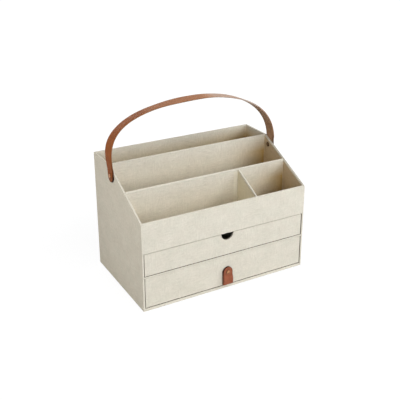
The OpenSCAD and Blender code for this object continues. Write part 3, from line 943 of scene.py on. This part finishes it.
handleRun, handleMarks = follow(handleLine(), handle["width"] / 2, handle["step"])
handleSize = (handle["width"], handle["thick"], handle["cup"])
strapMesh = strip("strap", handleRun, handleMarks, handleSize, handlePlace, 1, strapRoll)
addPiece("strap_leather_band", strapMesh, strapLeather, "handle", "tan_leather", "handle_strap")
print("strap built")

rivets = {
    "handleR": 4.6, "pullR": 4.0, "height": 1.8, "shank": 2.0, "capShank": 2.1, "capDepth": 0.1,
    "seat": 0.6, "through": 1.2, "sink": 0.02, "lip": 0.25, "lipHeight": 0.2, "rim": 0.35,
    "fullness": 0.9, "steps": 9, "round": 40, "rimFade": 5,
}


# A turned piece: profile points are (radius, height), the axis looks along direction
def lathe(name, profile, centre, direction):
    form = bmesh.new()
    steps = rivets["round"]
    rimLayer = form.verts.layers.float.new("rim")
    widest = max(radius for radius, height in profile)
    turn = Vector((0, 0, 1)).rotation_difference(Vector(direction)).to_matrix()
    rings = []
    for radius, height in profile:
        ring = []
        for i in range(steps if radius > 0 else 1):
            a = 2 * math.pi * i / steps
            spot = turn @ Vector((radius * math.cos(a), radius * math.sin(a), height))
            vertex = form.verts.new((spot + Vector(centre)) * mm)
            vertex[rimLayer] = (radius / widest) ** rivets["rimFade"]
            ring.append(vertex)
        rings.append(ring)
    for p, q in zip(rings, rings[1:]):
        for i in range(steps):
            j = (i + 1) % steps
            corners = [p[i % len(p)], p[j % len(p)], q[j % len(q)], q[i % len(q)]]
            unique = [v for k, v in enumerate(corners) if v not in corners[:k]]
            if len(unique) > 2:
                form.faces.new(unique)
    return finishForm(form, name)


def domeProfile(radius, shank, depth):
    rim, high = rivets["rim"], rivets["height"] - rivets["rim"]
    points = [
        (0.0, -depth), (shank, -depth), (shank, -rivets["sink"]), (radius - rivets["lip"], 0.0),
        (radius, rivets["lipHeight"]), (radius, rim),
    ]
    for i in range(1, rivets["steps"]):
        a = math.radians(90 * i / rivets["steps"])
        points.append((radius * math.cos(a) ** rivets["fullness"], rim + high * math.sin(a)))
    return points + [(0.0, rivets["height"])]


def headProfile(radius, depth):
    return domeProfile(radius, rivets["shank"], depth)


def capProfile(radius):
    return domeProfile(radius, rivets["capShank"], rivets["capDepth"])


def joinPieces(name, meshes):
    form = bmesh.new()
    for mesh in meshes:
        form.from_mesh(mesh)
    mesh = bpy.data.meshes.new(name)
    form.to_mesh(mesh)
    form.free()
    return mesh


strapFace = box["outX"] + rivets["seat"] + handle["thick"]
heads, caps = [], []
for side in (-1, 1):
    outer = (side * strapFace, handle["rivetY"], handle["rivetZ"])
    head = headProfile(rivets["handleR"], strapFace - box["inX"] + rivets["through"])
    heads.append(lathe("head", head, outer, (side, 0, 0)))
    inner = (side * (box["inX"] - box["paper"]), handle["rivetY"], handle["rivetZ"])
    caps.append(lathe("cap", capProfile(rivets["handleR"]), inner, (-side, 0, 0)))
addPiece(
    "handle_rivet_heads", joinPieces("heads", heads), copper,
    "box", "copper_rivets", "handle_rivets",
)
addPiece(
    "handle_rivet_backs", joinPieces("caps", caps), shadedCopper,
    "box", "copper_rivets", "handle_rivet_caps",
)

tab = {
    "width": 20.0, "leaf": 1.5, "rivetZ": 32.8, "length": 24.7, "bow": 2.4, "gap": 0.3,
    "belly": 0.72, "steps": 14, "step": 0.7,
}


# Side view of the folded tab: behind the rivet, down, round the fold, and up in front
def tabLine():
    leaf, steps = tab["leaf"], tab["steps"]
    top = tab["width"] / 2
    thick = 2 * leaf + tab["bow"]
    low = -tab["length"] + leaf / 2
    belly = -tab["belly"] * tab["length"]
    near, far = leaf / 2, thick - leaf / 2
    fold = Vector((thick / 2, low))
    back, front = Vector((near, belly)), Vector((far, belly))
    head = Vector((1.5 * leaf, -rivets["pullR"] - leaf))
    points = [Vector((near, top)), Vector((near, 0.0))]
    points += cubic(back, Vector((near, low)), Vector((near, low)), fold, steps)
    points += cubic(fold, Vector((far, low)), Vector((far, low)), front, steps)[1:]
    points += cubic(front, Vector((far, belly / 2)), Vector((head.x, belly / 2)), head, steps)[1:]
    return points + [Vector((head.x, 0.0)), Vector((head.x, top))]


tabBack = -box["outY"] - tab["gap"]


def tabPlace(spot, side):
    return Vector((side, tabBack - spot.x, tab["rivetZ"] + spot.y)) * mm


tabRun, tabMarks = follow(tabLine(), tab["width"] / 2, tab["step"])
tabMesh = strip("tab", tabRun, tabMarks, (tab["width"], tab["leaf"], 0.0), tabPlace, -1)
addPiece("pull_tab_folded", tabMesh, tabLeather, "pull", "tan_leather", "pull_tab")
pullFace = (0.0, -box["outY"] - rivets["seat"] - 2 * tab["leaf"], tab["rivetZ"])
pullHead = headProfile(rivets["pullR"], -pullFace[1] - box["inY"] + rivets["through"])
addPiece(
    "pull_rivet_head", lathe("pull_head", pullHead, pullFace, (0, -1, 0)), copper,
    "lower_drawer", "copper_rivets", "pull_rivet",
)
pullBack = (0.0, -box["inY"] + box["paper"], tab["rivetZ"])
addPiece(
    "pull_rivet_back", lathe("pull_cap", capProfile(rivets["pullR"]), pullBack, (0, 1, 0)),
    shadedCopper, "lower_drawer", "copper_rivets", "pull_rivet_cap",
)
print("leather and rivets built")

# Boards keep their CAD shape
boards = [
    "left_side_board", "right_side_board", "back_board", "front_board", "base_board",
    "lower_bay_floor", "drawer_shelf", "pocket_floor",
]
for drawer in ("upper_drawer", "lower_drawer"):
    boards += [drawer + part for part in ("_front", "_left", "_right", "_back", "_bottom")]
for name in boards:
    nodes[name].data.materials.clear()
    nodes[name].data.materials.append(board)


# 1 where the eye, a reflection or a clear thing looks, and 0 where light arrives
def lookedAt(shade):
    seen, glossy, through = [
        shade.node("ShaderNodeLightPath", output="Is " + ray + " Ray")
        for ray in ("Camera", "Glossy", "Transmission")
    ]
    return seen.math("MAXIMUM", glossy).math("MAXIMUM", through)


white = (1.0, 1.0, 1.0)
ground = {
    "half": 6.0, "drop": 0.0002, "dark": (0.86, 0.86, 0.86), "light": (0.88, 0.88, 0.88),
    "cloud": 1.5, "glow": 1.06, "near": 0.30, "far": 0.75, "nearShare": 0.86,
}


# White to look at, and a pale floor that keeps the shadow to all else. Away from the object it
# is all white, so its lit patch has no rim.
def floorMaterial():
    shade = Shade(bpy.data.materials.new("floor"))
    place = shade.place()
    tone = shade.blend(shade.noise(place, ground["cloud"]), ground["dark"], ground["light"])
    plain = shade.node("ShaderNodeBsdfDiffuse", None, {"Color": tone})
    bright = shade.node("ShaderNodeEmission", None, {"Color": white, "Strength": ground["glow"]})
    away = shade.node("ShaderNodeVectorMath", {"operation": "LENGTH"}, (place,), "Value")
    clear = shade.ramp(away, ground["near"], ground["far"], ground["nearShare"], 1.0)
    share = lookedAt(shade) * clear
    return shade.show(shade.node("ShaderNodeMixShader", None, (share, plain, bright)))


half = ground["half"]
corners = [(-half, -half, 0), (half, -half, 0), (half, half, 0), (-half, half, 0)]
floorMesh = bpy.data.meshes.new("floor")
floorMesh.from_pydata(corners, [], [(0, 1, 2, 3)])
floorPiece = bpy.data.objects.new("floor", floorMesh)
bpy.context.scene.collection.objects.link(floorPiece)
floorPiece.location = (0, 0, -ground["drop"])
floorMesh.materials.append(floorMaterial())

sky = {"light": 0.02, "seen": 1.0}


def skyWorld():
    shade = Shade(bpy.data.worlds.new("studio"))
    dim, bright = [
        shade.node("ShaderNodeBackground", None, {"Color": white, "Strength": sky[part]})
        for part in ("light", "seen")
    ]
    mixed = shade.node("ShaderNodeMixShader", None, (lookedAt(shade), dim, bright))
    return shade.show(mixed, "ShaderNodeOutputWorld")


bpy.context.scene.world = skyWorld()

cool, mild, warm = (0.93, 0.955, 1.0), (0.95, 0.965, 1.0), (1.0, 0.965, 0.92)
# Square soft lamps: angles in degrees, azimuth 0 in front and 90 on the right, the rest in metres
# and watts
lamps = {
    "front": {"azimuth": 0, "height": 18, "far": 1.8, "size": 0.8, "power": 13.0, "tint": cool},
    "right": {"azimuth": 62, "height": 32, "far": 1.8, "size": 0.8, "power": 16.8, "tint": cool},
    "above": {"azimuth": 0, "height": 60, "far": 1.8, "size": 0.8, "power": 5.7, "tint": cool},
    "left": {"azimuth": -86, "height": 30, "far": 0.7, "size": 0.35, "power": 1.4, "tint": warm},
    "frontLeft": {
        "azimuth": -40, "height": 30, "far": 1.8, "size": 0.8, "power": 2.6, "tint": mild,
    },
    "behind": {"azimuth": 180, "height": 50, "far": 1.8, "size": 0.9, "power": 7.5, "tint": cool},
    "backLow": {"azimuth": 180, "height": 12, "far": 1.8, "size": 0.9, "power": 6.0, "tint": cool},
}
lampAim = Vector((0.0, 0.0, 0.12))


# Unit vector from the object towards an azimuth and a height
def towards(azimuth, height):
    a, e = math.radians(azimuth), math.radians(height)
    return Vector((math.sin(a) * math.cos(e), -math.cos(a) * math.cos(e), math.sin(e)))


for name, lamp in lamps.items():
    data = bpy.data.lights.new(name, "AREA")
    data.shape = "SQUARE"
    data.size = lamp["size"]
    data.energy = lamp["power"]
    data.color = lamp["tint"]
    made = bpy.data.objects.new(name, data)
    bpy.context.scene.collection.objects.link(made)
    ray = towards(lamp["azimuth"], lamp["height"])
    made.location = lampAim + ray * lamp["far"]
    made.rotation_euler = ray.to_track_quat("Z", "Y").to_euler()

# The photograph's view: focal length and frame in pixels, the rest in metres and degrees
view = {
    "target": (0.00077, 0.0, 0.21275), "azimuth": -29.17, "height": 21.10, "roll": -0.10,
    "distance": 1.2806, "focal": 704.6, "frame": 400, "sensor": 36.0, "shiftY": -0.10,
}
back = towards(view["azimuth"], view["height"])
cameraData = bpy.data.cameras.new("camera")
cameraData.sensor_width = view["sensor"]
cameraData.lens = view["focal"] / view["frame"] * view["sensor"]
cameraData.shift_y = view["shiftY"]
camera = bpy.data.objects.new("camera", cameraData)
bpy.context.scene.collection.objects.link(camera)
roll = Matrix.Rotation(math.radians(view["roll"]), 4, "Z")
turn = back.to_track_quat("Z", "Y").to_matrix().to_4x4() @ roll
camera.matrix_world = Matrix.Translation(Vector(view["target"]) + back * view["distance"]) @ turn
bpy.context.scene.camera = camera
bpy.context.scene.view_settings.view_transform = "Standard"
print("stage ready")
